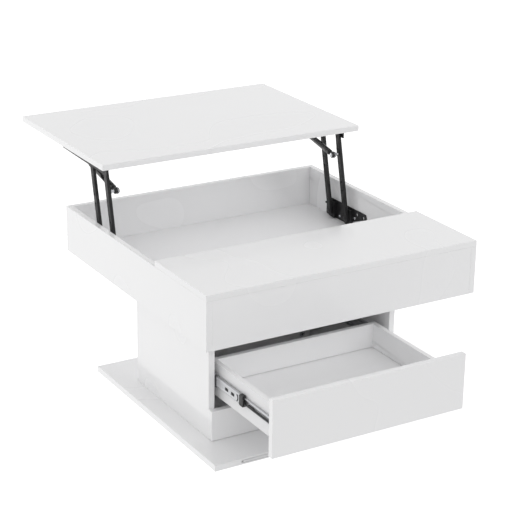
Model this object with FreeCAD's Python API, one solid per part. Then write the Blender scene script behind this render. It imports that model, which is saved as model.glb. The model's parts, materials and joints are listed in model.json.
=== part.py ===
import FreeCAD, Part
import math
import os
from FreeCAD import Vector

# Lift top coffee table, shown with the lift top raised and the drawer pulled out.
# Millimetres. While modelling, X runs to the right from the upper box's left face,
# Y runs back from the upper box's front face and Z is up from the floor.
# Every part is written with the origin moved to the middle of the base plate, on the floor.

os.makedirs("parts", exist_ok=True)

# Driving dimensions: boards and table
BOARD = 15.0             # lacquered board
TOP_W = 750.0            # width of the top
TOP_D = 750.0            # depth of the top, fixed strip and lift top together
TOP_Z = 380.0            # upper face of the closed top
BOX_Z = 243.0            # underside of the upper box
FIXED_D = 250.0          # depth of the fixed strip of the top
TOP_GAP = 2.0            # joint between the fixed strip and the lift top
LID_GAP = 0.5            # room between the closed lift top and the box's walls
RAIL_H = 60.0            # stretcher under the fixed strip's rear edge
GLIDE_T = 2.0            # felt glides under the base plate
GLIDE_R = 15.0
BASE = 610.0             # square base plate
BASE_X0 = -35.0
BASE_Y0 = -106.0
EDGE_HOLE = (70.0, 2.5, 20.0)    # from the plate's end, radius, depth

# Driving dimensions: pedestal and drawer
PED_X0 = BOARD
PED_W = 510.0
PED_Y0 = BOARD
PED_Y1 = 378.0
KICK_Z = 92.0            # top of the kick board
KICK_GAP = 1.0           # open joint between the kick board and the base plate
DRAWER_OPEN = 265.0      # how far the drawer stands open
FRONT_Z0 = 94.0
FRONT_Z1 = 232.0
SIDE_T = 12.0            # drawer sides and back
SIDE_Z0 = 115.0
SIDE_Z1 = 197.0
DRAWER_L = 308.0         # drawer sides' length
PANEL_T = 6.0            # drawer bottom, held in grooves
PANEL_Z = 135.0          # its upper face
GROOVE = 5.0             # groove depth
GROOVE_GAP = 1.2         # open joint above the bottom panel

# Driving dimensions: ball-bearing drawer slides
SLIDE_GAP = 12.7         # room for a slide at each side of the drawer
SLIDE_Z = 159.0          # centre line
SLIDE_L = 300.0
SLIDE_BACK = 17.0        # front end of the slide behind the box front, drawer closed
METAL = 1.2              # slide sheet
CABINET_HALF = 17.5      # half the height of each slide member
MIDDLE_HALF = 13.0
DRAWER_HALF = 9.0
CABINET_DEPTH = 9.5      # depth of each member's channel
MIDDLE_DEPTH = 7.5
DRAWER_DEPTH = 6.7
MIDDLE_X = 3.0           # from the pedestal's side to the middle member's web
ACCESS_Y = (38.0, 65.0, 190.0)   # access slots in the middle member, from its front end
ACCESS_SIZE = (14.0, 8.0)
BUMPER_L = 8.0
BUMPER_X = 2.2           # from the pedestal's side to the bumper
BUMPER_DEPTH = 9.3
BUMPER_HALF = 14.5
BUMPER_MOUTH = (3.2, 9.6)        # room for the drawer member: web thickness, half height
LEVER = (4.0, 123.0, 5.0)        # release lever in the drawer member: thickness, length, height
CAGE_Y = 117.0           # ball cages, drawer closed
CAGE_L = 110.0
CAGE_T = 0.6
CAGE_STRIP = 0.7
BALL_PITCH = 10.0
BALLS = 11               # in each row
OUTER_BALLS = (1.8, 6.0, 14.65, 1.55)    # cage web, balls' centres across and up, radius
INNER_BALLS = (4.8, 7.8, 10.4, 1.3)

# Driving dimensions: lift mechanism, in the plane beside each side panel
ARM_L = 231.0            # between an arm's two pivots
ARM_ANGLE = 77.1         # raised arm, up from the +Y direction
CLOSED_ANGLE = 162.6     # closed arm
PIVOT_FRONT = (523.0, 281.0)     # front arm's lower pivot, (Y, Z)
PIVOT_STEP = 78.0        # from the front arm to the rear arm
ARM_W = 16.0
ARM_X = (28.0, 36.0)     # both broad faces of an arm
ARM_WALL = 1.5
ARM_TAIL = 5.0           # how far an arm runs on below its pivot, before its round end
ARM_SOLID = 14.0         # closed length of the tube beside each pivot
ARM_HOLE_R = 2.5
FRONT_HOLES = (76.0, 99.0)       # paired holes, from the lower pivot
REAR_HOLES = (125.5, 148.0)
SHEET = 2.5              # bracket and rail sheet
PAD_X = 27.5             # inner face of the bracket's raised pads
OPEN_HOLES = ((462.0, 297.0), (492.0, 298.0))    # open holes in the bracket's front end, (Y, Z)
OPEN_HOLE_R = 4.3
PIN_R = 4.0
PIN_CLEAR = 0.05
HEAD_R = 6.0             # rivet heads
HEAD_GAP = 0.3
STOP_R = 3.0             # stop pin behind the rear arm
STOP_UP = 22.0           # its height above the pivot, along the arm
RAIL_Y = (556.0, 816.0)  # top rail, lift top raised
RAIL_W = 15.0
RAIL_DROP = (25.5, 20.5)         # depth of the rail's hanging flange, at its front and rear ends
FOOT_L = 42.0            # wide rear end of the rail
STRUT_X = 54.0           # gas strut's centre line
STRUT_DOWN = 55.0        # strut's front pivot below the front arm's top pivot
STRUT_R = 7.5
STRUT_TUBE = (14.0, 150.0)       # ends of the tube, from the front pivot
STRUT_WALL = 1.2
ROD_R = 3.0
EYE_R = 8.0              # eyes at the strut's ends
EYE_HALF = 5.5
EYE_NECK = 12.0          # from an eye's centre to the end of its neck
PISTON_L = 6.0
STRUT_REAR = (797.0, 500.0)      # strut's rear pivot, (Y, Z)

BOX_H_Z = TOP_Z - BOARD          # upper edge of the box's walls
LIFT = (ARM_L * (math.cos(math.radians(ARM_ANGLE)) - math.cos(math.radians(CLOSED_ANGLE))),
        ARM_L * (math.sin(math.radians(ARM_ANGLE)) - math.sin(math.radians(CLOSED_ANGLE))))
BASE_MID = (BASE_X0 + BASE / 2, BASE_Y0 + BASE / 2)
PED_X1 = PED_X0 + PED_W
FIT = 0.05                       # radial room around every fastener


# Small shape helpers
def box(x, y, z):
    """A block from three (low, high) pairs."""
    size = [pair[1] - pair[0] for pair in (x, y, z)]
    return Part.makeBox(*size, Vector(x[0], y[0], z[0]))


def rod(start, end, radius):
    """A round bar from one point to another."""
    a, b = Vector(*start), Vector(*end)
    return Part.makeCylinder(radius, (b - a).Length, a, b - a)


def rod_x(x, y, z, radius):
    """A round bar along X between the pair x, through (y, z)."""
    return rod((x[0], y, z), (x[1], y, z), radius)


def plate_x(x, outline):
    """A flat plate normal to X between the pair x, with an outline of (Y, Z) points."""
    points = [Vector(x[0], py, pz) for py, pz in outline]
    face = Part.Face(Part.makePolygon(points + points[:1]))
    return face.extrude(Vector(x[1] - x[0], 0, 0))


def fuse(shapes):
    """One solid from touching shapes."""
    return shapes[0].multiFuse(shapes[1:]).removeSplitter()


def round_edges(shape, radius, wanted):
    """The shape with the edges picked by wanted(edge) rounded."""
    return shape.makeFillet(radius, [edge for edge in shape.Edges if wanted(edge)])


def along(edge, axis):
    """True for a straight edge along the named axis."""
    if edge.Curve.TypeId != "Part::GeomLine":
        return False
    return abs(getattr(edge.tangentAt(edge.FirstParameter), axis)) > 0.999


def mirror(shape, middle):
    """The same shape on the other side of the plane x = middle."""
    return shape.mirror(Vector(middle, 0, 0), Vector(1, 0, 0))


def named_sides(left, middle):
    """Shapes named NAME_left and NAME_right from the left shapes by name."""
    parts = {}
    for name, shape in left.items():
        parts[name + "_left"] = shape
        parts[name + "_right"] = mirror(shape, middle)
    return parts


def polar(origin, angle, length, offset=0.0):
    """(Y, Z) reached from origin by length at angle, then offset square to it."""
    a = math.radians(angle)
    return (origin[0] + length * math.cos(a) - offset * math.sin(a),
            origin[1] + length * math.sin(a) + offset * math.cos(a))


PED_MID = (PED_X0 + PED_X1) / 2
PIVOT_REAR = (PIVOT_FRONT[0] + PIVOT_STEP, PIVOT_FRONT[1])
TOP_FRONT = polar(PIVOT_FRONT, ARM_ANGLE, ARM_L)
TOP_REAR = polar(PIVOT_REAR, ARM_ANGLE, ARM_L)
STRUT_FRONT = polar(PIVOT_FRONT, ARM_ANGLE, ARM_L - STRUT_DOWN)
STRUT_ANGLE = math.degrees(math.atan2(STRUT_REAR[1] - STRUT_FRONT[1], STRUT_REAR[0] - STRUT_FRONT[0]))
STRUT_L = math.hypot(STRUT_REAR[0] - STRUT_FRONT[0], STRUT_REAR[1] - STRUT_FRONT[1])
LID_Y = (FIXED_D + TOP_GAP + LIFT[0], TOP_D + LIFT[0])
LID_Z = (BOX_H_Z + LID_GAP + LIFT[1], TOP_Z + LID_GAP + LIFT[1])
FRONT_Y = (-DRAWER_OPEN, BOARD - DRAWER_OPEN)
SIDE_X = (PED_X0 + BOARD + SLIDE_GAP, PED_X0 + BOARD + SLIDE_GAP + SIDE_T)
DRAWER_Y1 = FRONT_Y[1] + DRAWER_L


# Fasteners
def screw(start, end, head_r, head_l, shank_r, grow=0.0):
    """A flush-headed screw from the outer face of its head to its tip."""
    a, b = Vector(*start), Vector(*end)
    step = (b - a).normalize()
    neck = a + step * head_l
    return fuse([rod(tuple(a), tuple(neck), head_r + grow), rod(tuple(neck), tuple(b), shank_r + grow)])


def pair_x(shapes, middle):
    """Each shape and its mirror image."""
    return shapes + [mirror(shape, middle) for shape in shapes]


def carcass_screws(grow=0.0):
    """Connecting screws into the pedestal's sides, up through the base and down through the box."""
    x, floor = PED_X0 + BOARD / 2, BOX_Z + BOARD
    left = []
    for y in (65, 196, 327):
        for start, step in ((GLIDE_T, 48), (floor, -48)):
            left.append(screw((x, y, start), (x, y, start + step), 5, 3, 2.6, grow))
    return pair_x(left, PED_MID)


def cam_points():
    """Cams in the pedestal's back: centre on its face, direction into the board, bolt's direction."""
    x = PED_X0 + BOARD + 24
    return [((x, PED_Y1 - BOARD, z), (0, 1, 0), (-1, 0, 0)) for z in (50, 130, 210)]


def cam_sets(points, cam_depth, grow=0.0):
    """Cams and their bolts for a list of cam points."""
    cams, bolts = [], []
    for centre, inward, out in points:
        c, n, o = Vector(*centre), Vector(*inward), Vector(*out)
        cams.append(rod(tuple(c), tuple(c + n * cam_depth), 7.5 + grow))
        mid = c + n * (cam_depth * 0.6)
        bolts.append(rod(tuple(mid + o * 7.7), tuple(mid + o * 34), 3.0 + grow))
    return cams, bolts


def carcass_cams(grow=0.0):
    return pair_x(cam_sets(cam_points(), 12, grow)[0], PED_MID)


def carcass_bolts(grow=0.0):
    return pair_x(cam_sets(cam_points(), 12, grow)[1], PED_MID)


def drawer_cam_points():
    """Cams in the rear face of the drawer's back, with bolts into its sides."""
    return [((SIDE_X[1] + 24, DRAWER_Y1, z), (0, -1, 0), (-1, 0, 0)) for z in (151, 181)]


def drawer_cams(grow=0.0):
    return pair_x(cam_sets(drawer_cam_points(), 9, grow)[0], PED_MID)


def drawer_bolts(grow=0.0):
    return pair_x(cam_sets(drawer_cam_points(), 9, grow)[1], PED_MID)


def drawer_dowels(grow=0.0):
    """Dowels between the drawer's front and its sides."""
    x, joint = (SIDE_X[0] + SIDE_X[1]) / 2, FRONT_Y[1]
    left = [rod((x, joint - 8, z), (x, joint + 22, z), 3.0 + grow) for z in (122, 152, 184)]
    return pair_x(left, PED_MID)


def carcass_dowels(grow=0.0):
    """Dowels between the upper box's boards, and between the kick board and the pedestal."""
    half, reach = BOARD / 2, 10.0
    dowels = []
    for y in (half, TOP_D - half):
        dowels += [rod_x((BOARD - reach, BOARD + 20), y, z, 4.0 + grow) for z in (280, 335)]
    dowels += [rod_x((BOARD - reach, BOARD + 20), FIXED_D - half, BOX_H_Z - RAIL_H / 2, 4.0 + grow)]
    for y in (120, 375, 630):
        dowels.append(rod_x((BOARD - reach, BOARD + 20), y, BOX_Z + half, 4.0 + grow))
    for y in (60, 190):
        dowels.append(rod((half, y, BOX_H_Z - 20), (half, y, BOX_H_Z + reach), 4.0 + grow))
    dowels = pair_x(dowels, TOP_W / 2)
    for x in (180, 375, 570):
        for y in (half, FIXED_D - half):
            dowels.append(rod((x, y, BOX_H_Z - 20), (x, y, BOX_H_Z + reach), 4.0 + grow))
    x = PED_X0 + BOARD / 2
    kick = [rod((x, BOARD - reach, z), (x, BOARD + 20, z), 4.0 + grow) for z in (35, 70)]
    return dowels + pair_x(kick, PED_MID)


def bracket_screws(grow=0.0):
    """Pan-head screws that hold the base brackets on the side panels."""
    spots = [(502, 285), (549, 298), (573, 270), (627, 295), (627, 270)]
    left = [fuse([rod_x((BOARD - 12, BOARD + SHEET), y, z, 2.0 + grow),
                  rod_x((BOARD + SHEET, BOARD + SHEET + 2.2), y, z, 4.0 + grow)]) for y, z in spots]
    return pair_x(left, TOP_W / 2)


def rail_screws(grow=0.0):
    """Pan-head screws that hold the top rails under the lift top."""
    x, z = PAD_X + 5, LID_Z[0]
    left = []
    for y in (600, 626, 700, 750, 806):
        shank = rod((x, y, z - SHEET), (x, y, z + 12), 2.0 + grow)
        left.append(fuse([shank, rod((x, y, z - SHEET - 2.2), (x, y, z - SHEET), 4.0 + grow)]))
    return pair_x(left, TOP_W / 2)


def slide_screws(grow=0.0):
    """Flush screws through the slides' cabinet members into the pedestal's sides."""
    x = PED_X0 + BOARD
    left = [screw((x + METAL, y, SLIDE_Z), (x - 11, y, SLIDE_Z), 3.5, METAL, 1.8, grow)
            for y in (54, 182, 280)]
    return pair_x(left, PED_MID)


def drawer_slide_screws(grow=0.0):
    """Flush screws through the slides' drawer members into the drawer's sides."""
    x = SIDE_X[0]
    left = [screw((x - METAL, y - DRAWER_OPEN, SLIDE_Z), (x + 9, y - DRAWER_OPEN, SLIDE_Z),
                  3.5, METAL, 1.8, grow) for y in (54, 182, 280)]
    return pair_x(left, PED_MID)


FASTENERS = {
    "carcass_screws": carcass_screws, "carcass_dowels": carcass_dowels,
    "carcass_cams": carcass_cams, "carcass_cam_bolts": carcass_bolts,
    "drawer_cams": drawer_cams, "drawer_cam_bolts": drawer_bolts, "drawer_dowels": drawer_dowels,
    "bracket_screws": bracket_screws, "rail_screws": rail_screws,
    "slide_screws": slide_screws, "drawer_slide_screws": drawer_slide_screws,
}
BORES = [shape for make in FASTENERS.values() for shape in make(FIT)]


def drilled(shape):
    """The shape with a hole for every fastener that enters it."""
    tools = [tool for tool in BORES if shape.BoundBox.intersect(tool.BoundBox)]
    tools = [tool for tool in tools if shape.distToShape(tool)[0] < 1e-6 and shape.common(tool).Volume > 1e-3]
    return shape.cut(tools) if tools else shape


# Boards
def base_plate():
    """The square plate on the floor, with a blind hole near each end of its front edge."""
    plate = box((BASE_X0, BASE_X0 + BASE), (BASE_Y0, BASE_Y0 + BASE), (GLIDE_T, GLIDE_T + BOARD))
    from_end, radius, depth = EDGE_HOLE
    z = GLIDE_T + BOARD / 2
    for x in (BASE_X0 + from_end, BASE_X0 + BASE - from_end):
        plate = plate.cut(rod((x, BASE_Y0, z), (x, BASE_Y0 + depth, z), radius))
    return plate


def glides():
    """Felt discs under the base plate: one in the middle and one near each corner."""
    inset = 40.0
    spots = [BASE_MID]
    for x in (BASE_X0 + inset, BASE_X0 + BASE - inset):
        for y in (BASE_Y0 + inset, BASE_Y0 + BASE - inset):
            spots.append((x, y))
    return [rod((x, y, 0), (x, y, GLIDE_T), GLIDE_R) for x, y in spots]


def pedestal_boards():
    """Sides, back and kick board under the upper box."""
    z = (GLIDE_T + BOARD, BOX_Z)
    inner = (PED_X0 + BOARD, PED_X1 - BOARD)
    left = box((PED_X0, PED_X0 + BOARD), (PED_Y0, PED_Y1), z)
    back_y = (PED_Y1 - BOARD, PED_Y1)
    return {
        "pedestal_left_side": left,
        "pedestal_right_side": mirror(left, PED_MID),
        "pedestal_back": box(inner, back_y, z),
        "kick_board": box((PED_X0, PED_X1), (PED_Y0 - BOARD, PED_Y0), (z[0] + KICK_GAP, KICK_Z)),
    }


def box_boards():
    """Walls, floor and fixed strip of the upper box."""
    z = (BOX_Z, BOX_H_Z)
    between = (BOARD, TOP_W - BOARD)
    left = box((0, BOARD), (0, TOP_D), z)
    return {
        "box_left_side": left,
        "box_right_side": mirror(left, TOP_W / 2),
        "box_front_panel": box(between, (0, BOARD), z),
        "box_back_panel": box(between, (TOP_D - BOARD, TOP_D), z),
        "box_floor": box(between, (BOARD, TOP_D - BOARD), (BOX_Z, BOX_Z + BOARD)),
        "fixed_top": box((0, TOP_W), (0, FIXED_D), (BOX_H_Z, TOP_Z)),
        "support_rail": box(between, (FIXED_D - BOARD, FIXED_D), (BOX_H_Z - RAIL_H, BOX_H_Z)),
    }


def lift_top():
    """The part of the top that rises, in its raised place."""
    return box((0, TOP_W), LID_Y, LID_Z)


def drawer_boards():
    """Front, sides, back and bottom; the bottom sits in grooves with a narrow open joint above."""
    y = (FRONT_Y[1], DRAWER_Y1)
    z = (SIDE_Z0, SIDE_Z1)
    inner = (SIDE_X[1], PED_X1 - (SIDE_X[1] - PED_X0))
    back_y = (DRAWER_Y1 - SIDE_T, DRAWER_Y1)
    left = box(SIDE_X, y, z)
    front = box((PED_X0, PED_X1), FRONT_Y, (FRONT_Z0, FRONT_Z1))
    back = box(inner, back_y, z)
    panel_x = (inner[0] - GROOVE, inner[1] + GROOVE)
    panel_y = (y[0] - GROOVE, back_y[0] + GROOVE)
    bottom = box(panel_x, panel_y, (PANEL_Z - PANEL_T, PANEL_Z))
    groove = box(panel_x, panel_y, (PANEL_Z - PANEL_T, PANEL_Z + GROOVE_GAP))
    return {
        "drawer_front": front.cut(groove),
        "drawer_left_side": left.cut(groove),
        "drawer_right_side": mirror(left, PED_MID).cut(groove),
        "drawer_back": back.cut(groove),
        "drawer_bottom": bottom,
    }


# Drawer slides, modelled at the left of the drawer
def channel_x(x, y, half, opens_right):
    """A C-section along Y that opens to +X or -X, half its height from the slide's centre line."""
    z = (SLIDE_Z - half, SLIDE_Z + half)
    hollow_x = (x[0] + METAL, x[1] + 1) if opens_right else (x[0] - 1, x[1] - METAL)
    hollow = box(hollow_x, (y[0] - 1, y[1] + 1), (z[0] + METAL, z[1] - METAL))
    return box(x, y, z).cut(hollow)


def slide_cabinet():
    """The member screwed to the pedestal's side."""
    x = PED_X0 + BOARD
    return channel_x((x, x + CABINET_DEPTH), (SLIDE_BACK, SLIDE_BACK + SLIDE_L), CABINET_HALF, True)


MIDDLE_SHIFT = -DRAWER_OPEN / 2


def slide_middle():
    """The middle member, with access slots in its web."""
    x = PED_X0 + BOARD + MIDDLE_X
    y0 = SLIDE_BACK + BUMPER_L + MIDDLE_SHIFT
    y1 = SLIDE_BACK + SLIDE_L + MIDDLE_SHIFT
    member = channel_x((x, x + MIDDLE_DEPTH), (y0, y1), MIDDLE_HALF, True)
    length, height = ACCESS_SIZE
    z = (SLIDE_Z - height / 2, SLIDE_Z + height / 2)
    for y in ACCESS_Y:
        member = member.cut(box((x - 1, x + METAL + 1), (y0 + y, y0 + y + length), z))
    return member


def slide_bumper():
    """The plastic bumper on the middle member's front end, open for the drawer member."""
    x = PED_X0 + BOARD + BUMPER_X
    y0 = SLIDE_BACK + MIDDLE_SHIFT
    web, half = BUMPER_MOUTH
    body = box((x, x + BUMPER_DEPTH), (y0, y0 + BUMPER_L), (SLIDE_Z - BUMPER_HALF, SLIDE_Z + BUMPER_HALF))
    gap = box((x + web, x + BUMPER_DEPTH + 1), (y0 - 1, y0 + BUMPER_L + 1), (SLIDE_Z - half, SLIDE_Z + half))
    body = round_edges(body, 2.5, lambda edge: along(edge, "x") and edge.BoundBox.YMax < y0 + 0.1)
    return body.cut(gap)


def slide_drawer():
    """The member screwed to the drawer's side."""
    x = SIDE_X[0]
    y = (SLIDE_BACK - DRAWER_OPEN, SLIDE_BACK - DRAWER_OPEN + SLIDE_L)
    return channel_x((x - DRAWER_DEPTH, x), y, DRAWER_HALF, False)


def release_levers():
    """The plastic levers that let the drawer members off, lying in the front of their channels."""
    thick, length, height = LEVER
    x = SIDE_X[0] - METAL - 0.3
    y = SLIDE_BACK - DRAWER_OPEN + 4.0
    z = SLIDE_Z - DRAWER_HALF + METAL + 0.2
    return pair_x([box((x - thick, x), (y, y + length), (z, z + height))], PED_MID)


def ball_cage(sizes, shift):
    """A retainer with a row of balls above and below, moved along Y by shift."""
    web, ball_x, ball_z, ball_r = sizes
    x = PED_X0 + BOARD
    y = (CAGE_Y + shift, CAGE_Y + shift + CAGE_L)
    strip = CAGE_STRIP / 2
    half = ball_z + strip
    body = [box((x + web, x + web + CAGE_T), y, (SLIDE_Z - half, SLIDE_Z + half))]
    for z in (SLIDE_Z - ball_z, SLIDE_Z + ball_z):
        body.append(box((x + web, x + ball_x + ball_r + 0.4), y, (z - strip, z + strip)))
        for i in range(BALLS):
            centre = Vector(x + ball_x, y[0] + BALL_PITCH * (i + 0.5), z)
            body.append(Part.makeSphere(ball_r, centre))
    return fuse(body)


def slide_parts():
    """The slide members by name, for both sides of the drawer."""
    left = {
        "slide_cabinet": slide_cabinet(),
        "slide_middle": slide_middle(),
        "slide_drawer": slide_drawer(),
        "slide_bumper": slide_bumper(),
    }
    return named_sides(left, PED_MID)


def outer_cages():
    """Ball cages between the cabinet members and the middle members."""
    return pair_x([ball_cage(OUTER_BALLS, -DRAWER_OPEN * 0.25)], PED_MID)


def inner_cages():
    """Ball cages between the middle members and the drawer members."""
    return pair_x([ball_cage(INNER_BALLS, -DRAWER_OPEN * 0.75)], PED_MID)


# Lift mechanism, modelled at the left side panel
def rivet(x0, y, z):
    """A pivot rivet from the sheet at x0 through an arm, with a head at each end."""
    end = ARM_X[1] + HEAD_GAP
    return fuse([rod_x((x0 - 1.5, x0), y, z, HEAD_R), rod_x((x0, end), y, z, PIN_R),
                 rod_x((end, end + 2.0), y, z, HEAD_R)])


def bar(pivot, half, x, start, end):
    """A straight bar along an arm between two distances from its lower pivot."""
    corners = [(start, half), (end, half), (end, -half), (start, -half)]
    return plate_x(x, [polar(pivot, ARM_ANGLE, along_arm, side) for along_arm, side in corners])


def arm(pivot, holes):
    """A flat tube with round closed ends, pivot bores and a pair of holes through it."""
    half = ARM_W / 2
    ends = [rod_x(ARM_X, *polar(pivot, ARM_ANGLE, at), half) for at in (-ARM_TAIL, ARM_L)]
    body = fuse([bar(pivot, half, ARM_X, -ARM_TAIL, ARM_L)] + ends)
    inner_x = (ARM_X[0] + ARM_WALL, ARM_X[1] - ARM_WALL)
    cuts = [bar(pivot, half - ARM_WALL, inner_x, ARM_SOLID, ARM_L - ARM_SOLID)]
    through = (ARM_X[0] - 1, ARM_X[1] + 1)
    cuts += [rod_x(through, *polar(pivot, ARM_ANGLE, at), PIN_R + PIN_CLEAR) for at in (0, ARM_L)]
    cuts += [rod_x(through, *polar(pivot, ARM_ANGLE, at), ARM_HOLE_R) for at in holes]
    return body.cut(cuts)


def front_arm():
    """The front arm, with the plate that the strut's front stud stands on."""
    at = ARM_L - STRUT_DOWN
    plate = bar(PIVOT_FRONT, 7.0, (ARM_X[1], ARM_X[1] + 1.5), at - 7, at + 18)
    return fuse([arm(PIVOT_FRONT, FRONT_HOLES), plate])


def base_bracket():
    """The bracket on the side panel: a tapered plate, two raised pads for the arms and a stop pin."""
    floor = BOX_Z + BOARD + 0.5
    top = 309.0
    outline = [(446, 296), (452, top), (641, top), (641, floor), (548, floor)]
    plate = plate_x((BOARD, BOARD + SHEET), outline)
    plate = round_edges(plate, 4.0, lambda edge: along(edge, "x"))
    pads = []
    for y, z in (PIVOT_FRONT, PIVOT_REAR):
        shell = box((BOARD + SHEET, PAD_X), (y - 13, y + 13), (floor + 3, top - 3))
        pads.append(shell.cut(box((BOARD, PAD_X - SHEET), (y - 11, y + 11), (floor, top))))
    stop = polar(PIVOT_REAR, ARM_ANGLE, STOP_UP, -(ARM_W / 2 + STOP_R + HEAD_GAP))
    body = fuse([plate, rod_x((BOARD + SHEET, ARM_X[1]), *stop, STOP_R)] + pads)
    holes = [rod_x((PAD_X - 3, PAD_X + 1), y, z, PIN_R) for y, z in (PIVOT_FRONT, PIVOT_REAR)]
    holes += [rod_x((BOARD - 1, BOARD + SHEET + 1), *spot, OPEN_HOLE_R) for spot in OPEN_HOLES]
    return body.cut(holes)


STRUT_TAB_X = (STRUT_X - EYE_HALF - 4.0 - SHEET, STRUT_X - EYE_HALF - 4.0)


def top_rail():
    """The angle rail under the lift top, with a tab at each pivot and one at its wide rear end."""
    top = LID_Z[0]
    z = (top - SHEET, top)
    x0 = PAD_X - SHEET
    front, rear = RAIL_DROP
    strips = [box((x0, x0 + RAIL_W), RAIL_Y, z),
              plate_x((x0, PAD_X), [(RAIL_Y[0], top), (RAIL_Y[1], top),
                                    (RAIL_Y[1], top - rear), (RAIL_Y[0], top - front)]),
              box((x0, STRUT_X + 10), (RAIL_Y[1] - FOOT_L, RAIL_Y[1]), z)]
    tabs = []
    for py, pz in (TOP_FRONT, TOP_REAR):
        tabs.append(plate_x((x0, PAD_X), [(py - 18, top), (py - 12, pz - 8), (py, pz - 11),
                                          (py + 9, pz - 8), (py + 16, top)]))
    py, pz = STRUT_REAR
    tabs.append(plate_x(STRUT_TAB_X, [(py - 14, top), (py - 8, pz - 8), (py + 8, pz - 8), (py + 14, top)]))
    holes = [rod_x((x0 - 1, PAD_X + 1), *pivot, PIN_R) for pivot in (TOP_FRONT, TOP_REAR)]
    holes.append(rod_x((STRUT_TAB_X[0] - 1, STRUT_TAB_X[1] + 1), *STRUT_REAR, PIN_R))
    return fuse(strips + tabs).cut(holes)


def strut_point(distance):
    """A point on the strut's centre line, from its front pivot."""
    y, z = polar(STRUT_FRONT, STRUT_ANGLE, distance)
    return (STRUT_X, y, z)


def strut_eye(centre, neck_end, bore_r):
    """An end eye: a bored disc and a neck toward the tube or the rod."""
    x, y, z = strut_point(centre)
    disc = rod_x((x - EYE_HALF, x + EYE_HALF), y, z, EYE_R)
    neck = rod((x, y, z), strut_point(neck_end), 5.0)
    return fuse([disc, neck]).cut(rod_x((x - EYE_HALF - 1, x + EYE_HALF + 1), y, z, bore_r))


def strut_tube():
    """The pressure tube, with its closed front end and its guide for the rod."""
    start, end = STRUT_TUBE
    outer = rod(strut_point(start), strut_point(end), STRUT_R)
    hollow = rod(strut_point(start + 4), strut_point(end - 8), STRUT_R - STRUT_WALL)
    guide = rod(strut_point(end - 9), strut_point(end + 1), ROD_R + PIN_CLEAR)
    return outer.cut([hollow, guide])


def strut_rod():
    """The piston rod with its piston and rear eye, drawn out as the raised top holds it."""
    piston = STRUT_TUBE[1] - 22.0
    head = rod(strut_point(piston), strut_point(piston + PISTON_L), STRUT_R - STRUT_WALL - PIN_CLEAR)
    shaft = rod(strut_point(piston), strut_point(STRUT_L - EYE_NECK), ROD_R)
    return fuse([shaft, head, strut_eye(STRUT_L, STRUT_L - EYE_NECK, PIN_R + PIN_CLEAR)])


def strut_stud(x0, pivot):
    """A stud from x0 through an eye, with its end cap."""
    cap = STRUT_X + EYE_HALF + HEAD_GAP
    return fuse([rod_x((x0, cap), *pivot, PIN_R), rod_x((cap, cap + 2.0), *pivot, HEAD_R)])


def mechanism_parts():
    """Every moving and fixed sheet, arm and strut part by name, for both sides of the table."""
    return named_sides({
        "base_bracket": base_bracket(),
        "rear_arm": arm(PIVOT_REAR, REAR_HOLES),
        "front_arm": front_arm(),
        "top_rail": top_rail(),
        "strut_tube": strut_tube(),
        "strut_rod": strut_rod(),
        "strut_socket": strut_eye(0, STRUT_TUBE[0], PIN_R),
        "strut_front_stud": strut_stud(ARM_X[1] + 1.5 + HEAD_GAP, STRUT_FRONT),
    }, TOP_W / 2)


def groups():
    """Nodes that hold several identical pieces."""
    parts = {name: make() for name, make in FASTENERS.items()}
    parts["glides"] = glides()
    parts["slide_release_levers"] = release_levers()
    parts["ball_cages_outer"] = outer_cages()
    parts["ball_cages_inner"] = inner_cages()
    base = [rivet(PAD_X - SHEET, y, z) for y, z in (PIVOT_FRONT, PIVOT_REAR)]
    top = [rivet(PAD_X - SHEET, y, z) for y, z in (TOP_FRONT, TOP_REAR)]
    parts["base_rivets"] = pair_x(base, TOP_W / 2)
    parts["top_rivets"] = pair_x(top, TOP_W / 2)
    parts["strut_rear_studs"] = pair_x([strut_stud(STRUT_TAB_X[0], STRUT_REAR)], TOP_W / 2)
    return parts


def write(name, shapes):
    """One STEP file, in the table's own frame."""
    shape = Part.makeCompound(shapes) if len(shapes) > 1 else shapes[0]
    shape.translate(Vector(-BASE_MID[0], -BASE_MID[1], 0))
    shape.exportStep("parts/%s.step" % name)
    solids = shape.Solids
    state = "ok" if all(s.isValid() and s.Volume > 0 for s in solids) else "NOT VALID"
    print("%-24s %2d solids %10.1f mm3 %s" % (name, len(solids), sum(s.Volume for s in solids), state))


def main():
    single = {"base_plate": base_plate(), "lift_top": lift_top()}
    single.update(pedestal_boards())
    single.update(box_boards())
    single.update(drawer_boards())
    single.update(slide_parts())
    single.update(mechanism_parts())
    for name, shape in single.items():
        write(name, [drilled(shape)])
    for name, shapes in groups().items():
        write(name, shapes)
    print("pieces in", len(single) + len(groups()), "files")


main()
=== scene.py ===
import json
import math

import bmesh
import bpy
from mathutils import Matrix, Vector
from mathutils.geometry import tessellate_polygon


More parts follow.
